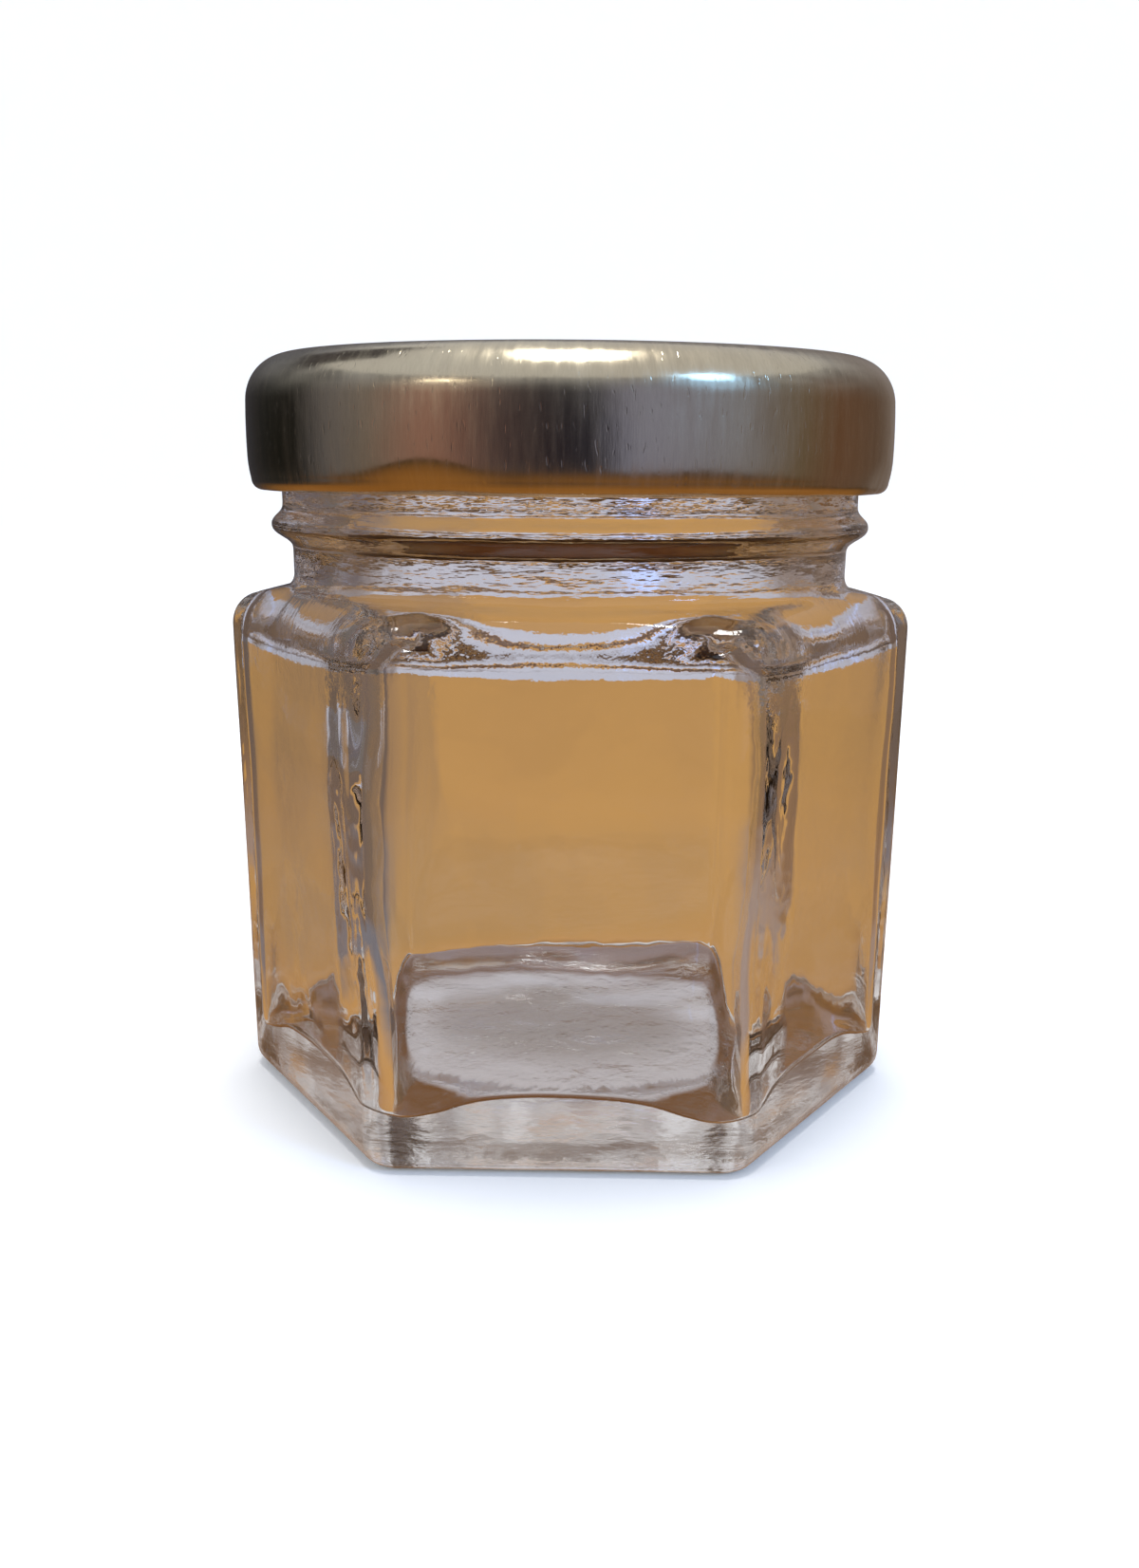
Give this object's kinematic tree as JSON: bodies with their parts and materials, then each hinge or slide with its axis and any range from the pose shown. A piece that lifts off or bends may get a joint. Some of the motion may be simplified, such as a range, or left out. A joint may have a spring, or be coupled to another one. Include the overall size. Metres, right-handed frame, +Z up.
{
  "type": "hexagonal glass jar",
  "caption": "Small hexagonal clear glass jar with a round neck, closed by a brushed gold twist-off metal lid; shown empty.",
  "frame": {"origin": "centre of the base, on the surface the jar stands on", "axes": "+Z up through the neck and lid, -Y out of the front panel, +X towards an upright edge"},
  "size_m": [0.05, 0.0458, 0.0532],
  "materials": {
    "clear_glass": "clear, fire-polished, slightly wavy",
    "gold_lid": "satin gold lacquer over brushed tinplate"
  },
  "bodies": {
    "root": {"glass_jar": "clear_glass", "lid": "gold_lid"}
  },
  "joints": []
}
